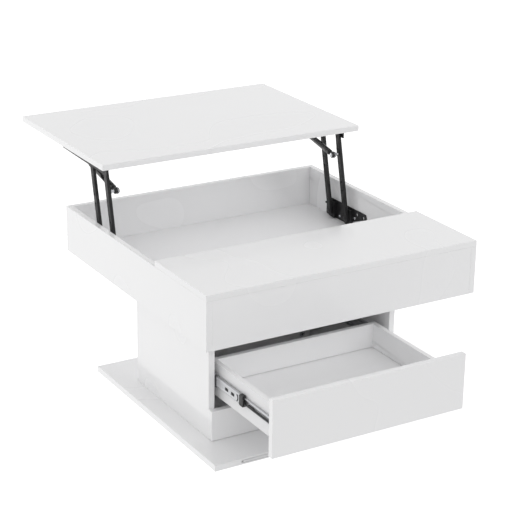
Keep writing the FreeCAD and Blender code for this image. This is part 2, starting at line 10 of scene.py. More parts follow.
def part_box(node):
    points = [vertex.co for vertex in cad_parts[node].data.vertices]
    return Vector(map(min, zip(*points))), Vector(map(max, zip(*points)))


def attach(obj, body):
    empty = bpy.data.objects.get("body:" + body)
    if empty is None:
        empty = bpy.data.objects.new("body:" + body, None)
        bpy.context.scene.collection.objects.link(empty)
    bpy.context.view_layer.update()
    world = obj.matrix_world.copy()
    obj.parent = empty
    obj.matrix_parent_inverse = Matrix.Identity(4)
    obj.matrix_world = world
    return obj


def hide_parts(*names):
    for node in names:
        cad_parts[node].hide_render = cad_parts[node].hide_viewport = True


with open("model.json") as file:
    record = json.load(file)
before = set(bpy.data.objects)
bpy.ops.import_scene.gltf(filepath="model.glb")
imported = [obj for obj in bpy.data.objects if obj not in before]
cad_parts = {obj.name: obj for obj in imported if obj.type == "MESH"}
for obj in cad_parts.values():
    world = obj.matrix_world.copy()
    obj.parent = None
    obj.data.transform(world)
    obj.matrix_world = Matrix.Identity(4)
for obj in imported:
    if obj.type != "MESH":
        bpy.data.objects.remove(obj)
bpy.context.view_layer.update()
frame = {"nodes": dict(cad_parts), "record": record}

NODES = frame["nodes"]
SIDES = ("left", "right")
AXES = X, Y, Z = Vector((1, 0, 0)), Vector((0, 1, 0)), Vector((0, 0, 1))
MM = 0.001
TABLE_MID, PEDESTAL_MID = 0.105, 0.0     # X of the mirror planes of the mechanism and of the drawer


# ---------------------------------------------------------------- node materials
NOISE_RANGE = (0.3, 0.7)     # most of a noise node's values lie between these


class Shader:
    """A principled material with short helpers for its procedural nodes."""

    def __init__(self, name, color, roughness, metallic=0.0, **sockets):
        self.material = bpy.data.materials.new(name)
        self.material.use_nodes = True
        self.tree = self.material.node_tree
        self.principled = self.tree.nodes["Principled BSDF"]
        self.place = self.add("ShaderNodeTexCoord").outputs["Object"]
        self.set("Base Color", (*color, 1.0))
        self.set("Roughness", roughness)
        self.set("Metallic", metallic)
        for socket, value in sockets.items():
            self.set(socket.replace("_", " ").title().replace("Ior", "IOR"), value)
        self.color, self.roughness = color, roughness

    def add(self, kind, **settings):
        node = self.tree.nodes.new(kind)
        for key, value in settings.items():
            setattr(node, key, value)
        return node

    def set(self, socket, value):
        self.principled.inputs[socket].default_value = value

    def link(self, output, socket):
        self.tree.links.new(output, socket)

    def stretched(self, scale):
        """Object coordinates stretched by a scale for each axis."""
        node = self.add("ShaderNodeMapping")
        node.inputs["Scale"].default_value = scale
        self.link(self.place, node.inputs["Vector"])
        return node.outputs["Vector"]

    def noise(self, scale, detail=3.0, stretch=(1, 1, 1), rough=0.5):
        """A noise factor at a scale per metre, with finer octaves for its detail."""
        node = self.add("ShaderNodeTexNoise")
        node.inputs["Scale"].default_value = scale
        node.inputs["Detail"].default_value = detail
        node.inputs["Roughness"].default_value = rough
        self.link(self.stretched(stretch), node.inputs["Vector"])
        return node.outputs["Fac"]

    def span(self, factor, low, high):
        """A noise factor spread over low..high."""
        node = self.add("ShaderNodeMapRange")
        node.inputs["From Min"].default_value, node.inputs["From Max"].default_value = NOISE_RANGE
        node.inputs["To Min"].default_value = low
        node.inputs["To Max"].default_value = high
        self.link(factor, node.inputs["Value"])
        return node.outputs["Result"]

    def vary_color(self, factor, other):
        """Base colour between the material's own colour and another."""
        node = self.add("ShaderNodeMix", data_type="RGBA")
        node.inputs["A"].default_value = (*self.color, 1.0)
        node.inputs["B"].default_value = (*other, 1.0)
        self.link(self.span(factor, 0.0, 1.0), node.inputs["Factor"])
        self.link(node.outputs["Result"], self.principled.inputs["Base Color"])

    def vary_roughness(self, factor, spread):
        """Roughness within a spread on both sides of the material's own."""
        low, high = self.roughness - spread, self.roughness + spread
        self.link(self.span(factor, low, high), self.principled.inputs["Roughness"])

    def bump(self, height, distance, strength=1.0):
        """Relief from a height factor, on top of any relief given before."""
        node = self.add("ShaderNodeBump")
        node.inputs["Strength"].default_value = strength
        node.inputs["Distance"].default_value = distance
        before = self.principled.inputs["Normal"].links
        if before:
            self.link(before[0].from_socket, node.inputs["Normal"])
        self.link(height, node.inputs["Height"])
        self.link(node.outputs["Normal"], self.principled.inputs["Normal"])


def gloss_lacquer():
    """Polished white lacquer: a faint orange peel and very slight shade changes."""
    s = Shader("gloss_lacquer", (0.91, 0.91, 0.915), 0.26, coat_weight=0.6, coat_roughness=0.05, coat_ior=1.8)
    s.vary_color(s.noise(2.2, 0.0), (0.902, 0.902, 0.909))
    s.vary_roughness(s.noise(5.0, 0.0), 0.03)
    s.bump(s.noise(45.0, 0.0), 0.00004, 0.15)
    return s.material


def white_melamine():
    """Satin white foil with fine pressed pores along the board."""
    s = Shader("white_melamine", (0.905, 0.905, 0.91), 0.42)
    s.vary_color(s.noise(6.0, 1.0, (1, 0.2, 1)), (0.893, 0.893, 0.90))
    s.vary_roughness(s.noise(14.0, 1.0), 0.05)
    s.bump(s.noise(160.0, 1.0, (1, 0.12, 1)), 0.00003, 0.15)
    return s.material


def black_steel():
    """Satin black powder coat: fine texture and a slightly varied tone."""
    s = Shader("black_steel", (0.012, 0.012, 0.013), 0.42, specular_ior_level=0.35)
    s.vary_color(s.noise(45.0, 5.0), (0.022, 0.022, 0.023))
    s.vary_roughness(s.noise(60.0, 4.0), 0.08)
    s.bump(s.noise(1500.0, 2.0), 0.00006, 0.5)
    return s.material


def black_tube():
    """Smooth semi-gloss black paint on the struts' tubes."""
    s = Shader("black_tube", (0.010, 0.010, 0.011), 0.26, coat_weight=0.2)
    s.vary_color(s.noise(30.0), (0.018, 0.018, 0.019))
    s.vary_roughness(s.noise(90.0, 3.0), 0.05)
    s.bump(s.noise(800.0, 2.0), 0.00003, 0.3)
    return s.material


def rod_chrome():
    """Hard chrome with fine round grinding marks."""
    s = Shader("rod_chrome", (0.78, 0.79, 0.81), 0.12, 1.0)
    s.vary_roughness(s.noise(400.0, 2.0, (1, 6, 1)), 0.04)
    s.vary_color(s.noise(70.0), (0.7, 0.71, 0.74))
    return s.material


def zinc_sheet():
    """Rolled zinc-plated sheet with streaks along the slide."""
    s = Shader("zinc_sheet", (0.60, 0.605, 0.62), 0.36, 0.8)
    s.vary_color(s.noise(60.0, 4.0, (1, 0.04, 1)), (0.50, 0.505, 0.52))
    s.vary_roughness(s.noise(240.0, 3.0, (1, 0.05, 1)), 0.09)
    s.bump(s.noise(900.0, 2.0, (1, 0.03, 1)), 0.00003, 0.4)
    return s.material


def bright_zinc():
    """Bright plated fittings, slightly clouded."""
    s = Shader("bright_zinc", (0.74, 0.75, 0.77), 0.22, 1.0)
    s.vary_color(s.noise(160.0, 4.0), (0.62, 0.63, 0.66))
    s.vary_roughness(s.noise(220.0, 3.0), 0.07)
    s.bump(s.noise(1200.0, 2.0), 0.00003, 0.3)
    return s.material


def black_plastic():
    """Moulded black plastic with a spark-eroded texture."""
    s = Shader("black_plastic", (0.016, 0.016, 0.017), 0.48)
    s.vary_color(s.noise(50.0), (0.024, 0.024, 0.026))
    s.vary_roughness(s.noise(180.0, 3.0), 0.07)
    s.bump(s.noise(2200.0, 2.0), 0.00006, 0.6)
    return s.material


def beech():
    """Turned beech with short dark rays along the grain."""
    s = Shader("beech", (0.60, 0.42, 0.25), 0.6)
    s.vary_color(s.noise(320.0, 4.0, (0.15, 0.15, 1)), (0.46, 0.30, 0.17))
    s.bump(s.noise(700.0, 3.0, (0.2, 0.2, 1)), 0.0001, 0.5)
    return s.material


def felt():
    """Pressed grey felt."""
    s = Shader("felt", (0.20, 0.20, 0.205), 0.95, sheen_weight=0.3)
    s.vary_color(s.noise(600.0, 5.0, rough=0.8), (0.33, 0.33, 0.335))
    s.bump(s.noise(1400.0, 5.0, rough=0.8), 0.0004, 0.8)
    return s.material


MAKERS = (gloss_lacquer, white_melamine, black_steel, black_tube, rod_chrome, zinc_sheet,
          bright_zinc, black_plastic, beech, felt)
MATERIALS = {make.__name__: make() for make in MAKERS}
SLOT_OF = {part["node"]: part["material_slot"] for part in frame["record"]["subparts"]}


def paint(piece, slot):
    """The piece's only material is the slot's."""
    piece.data.materials.clear()
    piece.data.materials.append(MATERIALS[slot])


# ---------------------------------------------------------------- mesh helpers
SHARP_ANGLE = 35.0           # degrees from which an edge counts as sharp
WELD_DISTANCE = 1e-5         # a CAD node's corners are welded this near before its edges are eased
SAME_POINT = 1e-6            # corners of a CAD mesh that are closer than this are one corner
REPLACED = set()             # CAD nodes that a new piece stands for


def new_piece(name, bm, smooth_angle=SHARP_ANGLE):
    """A mesh object from a bmesh, smooth up to an angle."""
    bmesh.ops.recalc_face_normals(bm, faces=bm.faces)
    mesh = bpy.data.meshes.new(name)
    bm.to_mesh(mesh)
    bm.free()
    piece = bpy.data.objects.new(name, mesh)
    bpy.context.scene.collection.objects.link(piece)
    mesh.shade_smooth()
    mesh.set_sharp_from_angle(angle=math.radians(smooth_angle))
    return piece


def stand_for(piece, body, slot, *nodes):
    """The piece rides on a body, takes a slot's finish and stands for these CAD nodes, if any."""
    paint(piece, slot)
    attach(piece, body)
    if nodes:
        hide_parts(*nodes)
        REPLACED.update(nodes)


def frame_along(origin, axis, toward=None):
    """A matrix whose Z runs along an axis, with its X as near as possible to toward.

    Without a toward, its X lies near the world's X, or near Y for an axis close to X.
    """
    z = Vector(axis).normalized()
    guess = Vector(toward) if toward is not None else (X if abs(z.x) < 0.9 else Y)
    x = (guess - z * guess.dot(z)).normalized()
    turn = Matrix((x, z.cross(x), z)).transposed().to_4x4()
    return Matrix.Translation(origin) @ turn


def arc(centre, radius, start, end, steps=6):
    """Points on an arc, in degrees, both ends included."""
    turns = [math.radians(start + (end - start) * i / steps) for i in range(steps + 1)]
    return [(centre[0] + radius * math.cos(a), centre[1] + radius * math.sin(a)) for a in turns]


def full_turn(steps):
    """Angles that divide a full turn into equal steps."""
    return [math.tau * i / steps for i in range(steps)]


def round_edges(piece, name, width, segments=3):
    """Rounds a piece's sharp edges and keeps its faces' shading."""
    bevel = piece.modifiers.new(name, "BEVEL")
    bevel.width, bevel.segments = width, segments
    bevel.limit_method, bevel.angle_limit = "ANGLE", math.radians(SHARP_ANGLE)
    bevel.harden_normals = True
    return bevel


def ease(node, width):
    """Rounds a CAD node's edges and keeps its own smooth and flat faces."""
    weld = NODES[node].modifiers.new("weld", "WELD")
    weld.merge_threshold = WELD_DISTANCE
    round_edges(NODES[node], "eased_edges", width).use_clamp_overlap = False


def islands(node):
    """(low, high) of each separate solid in a CAD node."""
    bm = bmesh.new()
    bm.from_mesh(NODES[node].data)
    bmesh.ops.remove_doubles(bm, verts=bm.verts, dist=SAME_POINT)
    found, left = [], set(bm.verts)
    while left:
        start = left.pop()
        group, edge = [start], [start]
        while edge:
            for link in edge.pop().link_edges:
                for vert in link.verts:
                    if vert in left:
                        left.discard(vert)
                        group.append(vert)
                        edge.append(vert)
        points = [v.co for v in group]
        found.append((Vector(map(min, zip(*points))), Vector(map(max, zip(*points)))))
    bm.free()
    return sorted(found, key=lambda pair: tuple(round(c, 5) for c in pair[0]))


# ---------------------------------------------------------------- turned and rolled shapes
THREAD_ROOT = 0.8            # a thread's root over its outer radius
RECESS_TAPER = 0.6           # a cross recess at its floor over its mouth


def wall(bm, lower, upper):
    """Faces between two closed rings with as many corners each."""
    for i in range(len(lower)):
        j = (i + 1) % len(lower)
        bm.faces.new((lower[i], lower[j], upper[j], upper[i]))


def stacked(bm, rings):
    """A closed body through a stack of rings."""
    for lower, upper in zip(rings, rings[1:]):
        wall(bm, lower, upper)
    bm.faces.new(rings[0])
    bm.faces.new(rings[-1])


def lathe(bm, profile, place, steps=32, ends=2):
    """A turned body from (radius, height) points about the place's Z; returns its last ring.

    It has both its end faces, only its first (ends=1), or none and a bore instead (ends=0).
    """
    rings = []
    for radius, height in profile:
        if radius <= 0:
            rings.append([bm.verts.new(place @ Vector((0, 0, height)))])
            continue
        ring = [place @ Vector((radius * math.cos(a), radius * math.sin(a), height))
                for a in full_turn(steps)]
        rings.append([bm.verts.new(point) for point in ring])
    pairs = list(zip(rings, rings[1:])) + ([(rings[-1], rings[0])] if ends == 0 else [])
    for low, high in pairs:
        for i in range(steps):
            j = (i + 1) % steps
            corners = [low[i % len(low)], low[j % len(low)], high[j % len(high)], high[i % len(high)]]
            unique = list(dict.fromkeys(corners))
            if len(unique) > 2:
                bm.faces.new(unique)
    if ends > 0 and len(rings[0]) > 1:
        bm.faces.new(rings[0])
    if ends > 1 and len(rings[-1]) > 1:
        bm.faces.new(rings[-1])
    return rings[-1]


def cross_recess(bm, ring, place, height, reach, half, depth):
    """Closes a round end at a height with a face that has a tapered cross sunk into it."""
    outline = []
    for quarter in full_turn(4):
        turn = Matrix.Rotation(quarter, 4, "Z")
        outline += [turn @ Vector((x, y, 0)) for x, y in ((reach, -half), (reach, half), (half, half))]
    mouth = [bm.verts.new(place @ (point + Z * height)) for point in outline]
    floor = [bm.verts.new(place @ (point * RECESS_TAPER + Z * (height - depth))) for point in outline]
    loops = [[vert.co for vert in ring], [vert.co for vert in mouth]]
    both = ring + mouth
    for triangle in tessellate_polygon(loops):
        bm.faces.new([both[i] for i in triangle])
    wall(bm, mouth, floor)
    bm.faces.new(floor)


def thread(radius, start, end, pitch):
    """Profile points of a thread between two heights."""
    points = []
    for i in range(int((end - start) / pitch)):
        points += [(radius * THREAD_ROOT, start + i * pitch), (radius, start + (i + 0.5) * pitch)]
    return points + [(radius * THREAD_ROOT, end)]


def sides_of(path, half):
    """Points half away from a path of (u, v) points, on its left and on its right."""
    left, right = [], []
    for i, point in enumerate(path):
        before, after = path[max(i - 1, 0)], path[min(i + 1, len(path) - 1)]
        step = (Vector(after) - Vector(before)).normalized()
        out = Vector((-step.y, step.x)) * half
        left.append(Vector(point) + out)
        right.append(Vector(point) - out)
    return left, right


def rolled(bm, path, thickness, stations, spot, slots=()):
    """A sheet rolled to a path and run through Y stations, with slots (y0, y1, v0, v1) left open."""
    rows = sides_of(path, thickness / 2)
    grid = [[[bm.verts.new(spot(row[i].x, y, row[i].y)) for row in rows] for i in range(len(path))]
            for y in stations]

    def solid(j, i):
        """Whether the sheet is there between two stations and two points of its path."""
        if not (0 <= j < len(stations) - 1 and 0 <= i < len(path) - 1):
            return False
        y, v = (stations[j] + stations[j + 1]) / 2, (path[i][1] + path[i + 1][1]) / 2
        on_web = max(path[i][0], path[i + 1][0]) < 1.5 * thickness     # slots are cut in the web only
        return not (on_web and any(y0 < y < y1 and v0 < v < v1 for y0, y1, v0, v1 in slots))

    for j in range(len(stations) - 1):
        for i in range(len(path) - 1):
            if not solid(j, i):
                continue
            a, b, c, d = grid[j][i], grid[j][i + 1], grid[j + 1][i + 1], grid[j + 1][i]
            bm.faces.new((a[0], b[0], c[0], d[0]))
            bm.faces.new((a[1], b[1], c[1], d[1]))
            for beyond, low, high in ((solid(j - 1, i), a, b), (solid(j + 1, i), c, d),
                                      (solid(j, i - 1), d, a), (solid(j, i + 1), b, c)):
                if not beyond:
                    bm.faces.new((low[0], high[0], high[1], low[1]))


def block(bm, low, high):
    """A block between two corners."""
    corners = [bm.verts.new((x, y, z)) for x in (low[0], high[0]) for y in (low[1], high[1])
               for z in (low[2], high[2])]
    for face in ((0, 1, 3, 2), (4, 6, 7, 5), (0, 4, 5, 1), (2, 3, 7, 6), (0, 2, 6, 4), (1, 5, 7, 3)):
        bm.faces.new([corners[i] for i in face])


# ---------------------------------------------------------------- drawer slides
SHEET = 1.2 * MM                                # the members' sheet
BEAD_RISE, BEAD_HALF = 0.45 * MM, 0.9 * MM      # the beads pressed along each member's web
ACCESS_HALF, ACCESS_L = 4.0 * MM, 14.0 * MM     # half height and length of an access slot
ACCESS_Y = (38.0 * MM, 65.0 * MM, 190.0 * MM)   # where the slots start, from the member's front
MEMBERS = {     # body, then corner radius, lip radius and height of the beads, in mm
    "slide_cabinet": ("carcass", 2.2, 2.0, 9.5),
    "slide_middle": ("middle_slide", 3.0, 1.6, 6.5),
    "slide_drawer": ("drawer", 1.4, 1.2, 5.6),
}
BUMPER_BLOCKS = (       # depth from the web, distance from the front and height about the middle, in mm
    ((0, 3.2), (7.4, 24.0), (-12.0, 11.0)),     # plate on the web
    ((0, 9.3), (7.4, 22.5), (9.8, 13.5)),       # upper hook
    ((0, 9.3), (7.4, 22.0), (-13.5, -9.8)),     # lower hook
    ((0.2, 2.4), (5.5, 10.0), (-8.0, 7.0)),     # nose
)
BUMPER_EDGE = 0.8 * MM
RIB_Y, RIB_R, RIB_TURN = 38.5 * MM, 8.9 * MM, 62    # centre, radius and half angle of a snap rib's arc
RIB_HALF, RIB_X = 1.3 * MM, (0.1 * MM, 1.2 * MM)    # its half width, and its depths from the web
LEVER_BLOCKS = (        # start and end as shares of the lever, then its top's drop and sides' inset in mm
    (0.0, 0.16, 0.0, 0.0),      # finger pad
    (0.15, 0.8, 1.2, 0.8),      # blade
    (0.79, 1.0, 0.4, 0.4),      # root
)
LEVER_EDGE = 0.35 * MM
GRIP_BARS, GRIP_START, GRIP_PITCH = 5, 0.02, 0.025  # bars on the pad, their first place and their pitch
GRIP_WIDTH, GRIP_PROUD = 1.2 * MM, 0.3 * MM
GRIP_FOOT, GRIP_TOP = 0.8 * MM, 0.6 * MM            # how far the bars stop short of the pad's edges
CAGES = {       # body, slot and ball radius in mm
    "ball_cages_outer": ("outer_cages", "zinc_sheet", 1.55),
    "ball_cages_inner": ("inner_cages", "black_plastic", 1.3),
}
CAGE_SHEET, CAGE_CORNER = 0.6 * MM, 0.9 * MM
BALLS_IN_ROW, BALL_INSET = 11, 0.35 * MM            # a ball's distance from its cage's open edge


def channel_path(depth, half, corner, lip, bead):
    """Centre line of a rolled C-section: web near u = 0 with two beads, lips turned in at its flanges."""
    web, edge, top = SHEET / 2, depth - SHEET / 2, half - SHEET / 2
    upper = arc((edge - lip, top - lip), lip, 0, 90, 5)
    upper += arc((web + corner, top - corner), corner, 90, 180, 6)
    upper += [(web, bead + BEAD_HALF), (web + BEAD_RISE, bead + BEAD_HALF / 2),
              (web + BEAD_RISE, bead - BEAD_HALF / 2), (web, bead - BEAD_HALF), (web, ACCESS_HALF)]
    return upper + [(u, -v) for u, v in reversed(upper)]


def slide_members():
    """The rolled members of both slides, with access slots in the middle ones."""
    for name, (body, corner, lip, bead) in MEMBERS.items():
        for side in SIDES:
            node = "%s_%s" % (name, side)
            owner = "%s_%s" % (body, side) if name == "slide_middle" else body
            low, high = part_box(node)
            web_low = (side == "left") == (name != "slide_drawer")
            web, sign = (low.x, 1) if web_low else (high.x, -1)
            mid = (low.z + high.z) / 2
            path = channel_path(high.x - low.x, (high.z - low.z) / 2, corner * MM, lip * MM, bead * MM)
            slots, stations = [], [low.y, high.y]
            if name == "slide_middle":
                slots = [(low.y + y, low.y + y + ACCESS_L, -ACCESS_HALF, ACCESS_HALF) for y in ACCESS_Y]
                stations += [y for slot in slots for y in slot[:2]]
            bm = bmesh.new()
            rolled(bm, path, SHEET, sorted(stations),
                   lambda u, y, v: Vector((web + sign * u, y, mid + v)), slots)
            stand_for(new_piece("rolled_%s" % node, bm, 30), owner, "zinc_sheet", node)


def slide_bumpers():
    """The plastic bumpers at the middle members' ends: a hooked head and a snap rib behind it."""
    for side in SIDES:
        low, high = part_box("slide_bumper_" + side)
        sign, web = (1, low.x) if side == "left" else (-1, high.x)
        front, mid = low.y, (low.z + high.z) / 2
        bm = bmesh.new()
        for depth, y, z in BUMPER_BLOCKS:
            x = sorted(web + sign * d * MM for d in depth)
            block(bm, (x[0], front + y[0] * MM, mid + z[0] * MM), (x[1], front + y[1] * MM, mid + z[1] * MM))
        piece = new_piece("moulded_bumper_" + side, bm)
        round_edges(piece, "rounded_edges", BUMPER_EDGE)
        stand_for(piece, "middle_slide_" + side, "black_plastic", "slide_bumper_" + side)
        rib = snap_rib("bumper_snap_rib_" + side, [web + sign * depth for depth in RIB_X], front, mid)
        stand_for(rib, "middle_slide_" + side, "black_plastic")


def snap_rib(name, depths, front, mid):
    """The curved rib on a middle member's web, which bulges toward its front."""
    line = [(RIB_Y - u, v) for u, v in arc((0, 0), RIB_R, -RIB_TURN, RIB_TURN, 12)]
    left, right = sides_of(line, RIB_HALF)
    bm = bmesh.new()
    rows = [[bm.verts.new((x, front + point.x, mid + point.y)) for point in left + right[::-1]]
            for x in depths]
    wall(bm, *rows)
    last = len(rows[0]) - 1
    for row in rows:
        for i in range(len(line) - 1):
            bm.faces.new((row[i], row[i + 1], row[last - 1 - i], row[last - i]))
    return new_piece(name, bm)


def release_levers():
    """The slides' release levers: a narrower blade with a barred finger pad at its front."""
    for side, (low, high) in zip(SIDES, islands("slide_release_levers")):
        bm = bmesh.new()
        length = high.y - low.y
        for start, end, drop, inset in LEVER_BLOCKS:
            block(bm, (low.x + inset * MM, low.y + start * length, low.z),
                  (high.x - inset * MM, low.y + end * length, high.z - drop * MM))
        for i in range(GRIP_BARS):
            y = low.y + (GRIP_START + GRIP_PITCH * i) * length
            block(bm, (low.x - GRIP_PROUD, y, low.z + GRIP_FOOT), (high.x, y + GRIP_WIDTH, high.z - GRIP_TOP))
        piece = new_piece("release_lever_" + side, bm)
        round_edges(piece, "rounded_edges", LEVER_EDGE, 2)
        replaced = ["slide_release_levers"] if side == "left" else []
        stand_for(piece, "drawer", "black_plastic", *replaced)


def ball_cages():
    """Rolled retainers, and the steel balls in rows along both their edges."""
    for node, (body, slot, radius) in CAGES.items():
        kind, ball_r = node.split("_")[-1], radius * MM
        for side, (low, high) in zip(SIDES, islands(node)):
            sign, web = (1, low.x) if side == "left" else (-1, high.x)
            mid, half, depth = (low.z + high.z) / 2, (high.z - low.z) / 2, high.x - low.x
            flange, inner = half - ball_r, CAGE_SHEET / 2
            path = arc((depth - CAGE_SHEET, flange - inner), inner, 0, 90, 2)
            path += arc((CAGE_CORNER + inner, flange - CAGE_CORNER), CAGE_CORNER, 90, 180, 4)
            path += [(u, -v) for u, v in reversed(path)]
            bm = bmesh.new()
            rolled(bm, path, CAGE_SHEET, [low.y, high.y],
                   lambda u, y, v: Vector((web + sign * u, y, mid + v)))
            cage = new_piece("retainer_%s_%s" % (kind, side), bm)
            stand_for(cage, body, slot, *([node] if side == "left" else []))
            bm = bmesh.new()
            pitch = (high.y - low.y) / BALLS_IN_ROW
            x = web + sign * (depth - BALL_INSET - ball_r)
            for i in range(BALLS_IN_ROW):
                for up in (-1, 1):
                    centre = Vector((x, low.y + (i + 0.5) * pitch, mid + up * flange))
                    bmesh.ops.create_uvsphere(bm, u_segments=16, v_segments=10, radius=ball_r,
                                              matrix=Matrix.Translation(centre))
            stand_for(new_piece("balls_%s_%s" % (kind, side), bm, 80), body, "rod_chrome")


# ---------------------------------------------------------------- fasteners
HEAD_PROUD = 0.35 * MM       # how far the slides' screw heads stand out of their webs
SCREW_PITCH, BOLT_PITCH = 1.1 * MM, 1.25 * MM
HEAD_FLAT = 0.62             # a round head is rounded outside about this share of its radius
SUNK_RIM = 0.97              # a sunk head's flat face over its radius
CROSS_REACH, CROSS_HALF = 0.7, 0.14                 # a screw's cross over the radius of its flat face
CROSS_DEPTH = 1.6 * MM                              # and its depth, or less in a low head
CAM_R, CAM_RIM = 7.5 * MM, 0.6 * MM
CAM_STEP, CAM_SLOT = 0.5 * MM, 3.0 * MM             # depth of a cam's step and of its cross slot
BOLT_R = 3.0 * MM
FLUTES, FLUTE_ROOT = 14, 0.94                       # a dowel's flutes, and their root over its radius
RIVET_HEAD_R, RIVET_R = 6.0 * MM, 4.0 * MM
RIVET_NEAR, RIVET_FAR = 1.5 * MM, 2.0 * MM          # heights of a rivet's two domes
BASE_SCREWS_UNDER = 0.1      # the base plate's screws lie below this height, those of the box floor above


def ends_of(node, axis, outer_high):
    """(place, length) of each solid in a node: Z points out of its head, on the side outer_high picks."""
    found = []
    index = "XYZ".index(axis)
    for low, high in islands(node):
        head = (low + high) / 2
        top_high = outer_high(head)
        head[index] = high[index] if top_high else low[index]
        found.append((frame_along(head, AXES[index] * (1 if top_high else -1)), high[index] - low[index]))
    return found


# Each of these says whether a fastener with its middle here has its head at the high end of its axis.
def on_left(middle):
    return middle.x < TABLE_MID


def on_drawer_left(middle):
    return middle.x < PEDESTAL_MID


def on_drawer_right(middle):
    return middle.x > PEDESTAL_MID


def in_box_floor(middle):
    return middle.z > BASE_SCREWS_UNDER


def never(middle):
    return False


SCREWS = {      # body, axis, head at the high end or not, head and shank radius and head height in mm, sunk
    "bracket_screws": ("carcass", "X", on_left, 4.0, 2.0, 2.2, False),
    "rail_screws": ("lid", "Z", never, 4.0, 2.0, 2.2, False),
    "slide_screws": ("carcass", "X", on_drawer_left, 3.5, 1.8, 1.2, True),
    "drawer_slide_screws": ("drawer", "X", on_drawer_right, 3.5, 1.8, 1.2, True),
    "carcass_screws": ("carcass", "Z", in_box_floor, 5.0, 2.6, 3.0, True),
}


def screw(bm, place, length, head_r, shank_r, head_h, countersunk):
    """A cross-head screw with the outer face of its head at height 0 and its tip below."""
    tip = -length
    profile = [(0, tip), (shank_r * 0.5, tip + shank_r)]
    profile += thread(shank_r, tip + 1.6 * shank_r, -head_h - MM, SCREW_PITCH)
    profile.append((shank_r, -head_h))
    if countersunk:
        top = head_r * SUNK_RIM
        profile += [(head_r, -0.15 * head_h), (top, 0)]
    else:
        dome = arc((0, 0), 1.0, 0, 78, 6)
        profile += [(head_r, -head_h)]
        profile += [(head_r * (HEAD_FLAT + (1 - HEAD_FLAT) * u), head_h * (v - 1)) for u, v in dome][1:]
        top = profile[-1][0]
        profile.append((top, 0))
    ring = lathe(bm, profile, place, 28, ends=1)
    cross_recess(bm, ring, place, 0, top * CROSS_REACH, top * CROSS_HALF, min(head_h * 0.7, CROSS_DEPTH))


def screws():
    """Every screw with its thread and cross recess."""
    for node, (body, axis, outer_high, head_r, shank_r, head_h, sunk) in SCREWS.items():
        bm = bmesh.new()
        for place, length in ends_of(node, axis, outer_high):
            if "slide" in node:
                place = place @ Matrix.Translation((0, 0, HEAD_PROUD))
            screw(bm, place, length, head_r * MM, shank_r * MM, head_h * MM, sunk)
        stand_for(new_piece("threaded_" + node, bm, 40), body, SLOT_OF[node], node)


def cams():
    """Cam fittings with a stepped rim and a cross slot, and their bolts."""
    for body, node, outer_high in (("carcass", "carcass_cams", False), ("drawer", "drawer_cams", True)):
        bm = bmesh.new()
        for place, depth in ends_of(node, "Y", lambda middle: outer_high):
            profile = [(CAM_R * 0.9, -depth), (CAM_R, CAM_RIM - depth), (CAM_R, -CAM_STEP),
                       (CAM_R * 0.94, 0), (CAM_R * 0.8, 0), (CAM_R * 0.76, -CAM_STEP)]
            ring = lathe(bm, profile, place, 40, ends=1)
            cross_recess(bm, ring, place, -CAM_STEP, CAM_R * 0.55, CAM_R * 0.13, CAM_SLOT)
        stand_for(new_piece("slotted_" + node, bm, 40), body, SLOT_OF[node], node)
        cam_bolts(body, node[:-1] + "_bolts")


def cam_bolts(body, node):
    """Threaded bolts with a collar, a waist and a ball head for the cams to grip."""
    waist = BOLT_R * 0.6
    bm = bmesh.new()
    for place, length in ends_of(node, "X", on_drawer_left):
        profile = [(0, -length), (waist, -length)]
        profile += thread(BOLT_R, MM - length, -0.6 * length, BOLT_PITCH)
        profile += [(BOLT_R, -0.58 * length), (BOLT_R, -0.3 * length), (waist, -0.28 * length),
                    (waist, -0.14 * length)]
        profile += [(BOLT_R * u, BOLT_R * (v - 1)) for u, v in arc((0, 0), 0.95, -60, 90, 6)]
        profile[-1] = (0, profile[-1][1])
        lathe(bm, profile, place, 24)
    stand_for(new_piece("threaded_" + node, bm, 40), body, SLOT_OF[node], node)


def dowels():
    """Fluted dowels with chamfered ends."""
    for node, body in (("carcass_dowels", "carcass"), ("drawer_dowels", "drawer")):
        bm = bmesh.new()
        for low, high in islands(node):
            size = high - low
            index = max(range(3), key=lambda i: size[i])
            radius, half = min(size) / 2, size[index] / 2
            chamfer = 0.2 * radius
            place = frame_along((low + high) / 2, AXES[index])
            rings = []
            for height, scale in ((-half, 0.8), (chamfer - half, 0.98), (half - chamfer, 0.98), (half, 0.8)):
                ring = []
                for i, a in enumerate(full_turn(2 * FLUTES)):
                    r = radius * scale * (FLUTE_ROOT if i % 2 else 1.0)
                    ring.append(bm.verts.new(place @ Vector((r * math.cos(a), r * math.sin(a), height))))
                rings.append(ring)
            stacked(bm, rings)
        stand_for(new_piece("fluted_" + node, bm, 20), body, "beech", node)


def near_dome(head_r, shank_r, dome):
    """Profile points of a low dome at height 0, from its middle to the shank."""
    return [(0, 0), (head_r * 0.55, dome * 0.12), (head_r * 0.9, dome * 0.45), (head_r, dome * 0.8),
            (head_r, dome), (shank_r, dome)]


def far_dome(length, head_r, shank_r, dome):
    """Profile points of a low dome with a dimple, from the shank to its middle at the far end."""
    return [(shank_r, length - dome), (head_r, length - dome), (head_r, length - dome * 0.8),
            (head_r * 0.9, length - dome * 0.45), (head_r * 0.55, length - dome * 0.12),
            (head_r * 0.3, length), (head_r * 0.22, length - dome * 0.25), (0, length - dome * 0.25)]


def rivet_profile(length):
    """A pivot rivet from its domed tail to its domed head."""
    return (near_dome(RIVET_HEAD_R, RIVET_R, RIVET_NEAR)
            + far_dome(length, RIVET_HEAD_R, RIVET_R, RIVET_FAR))


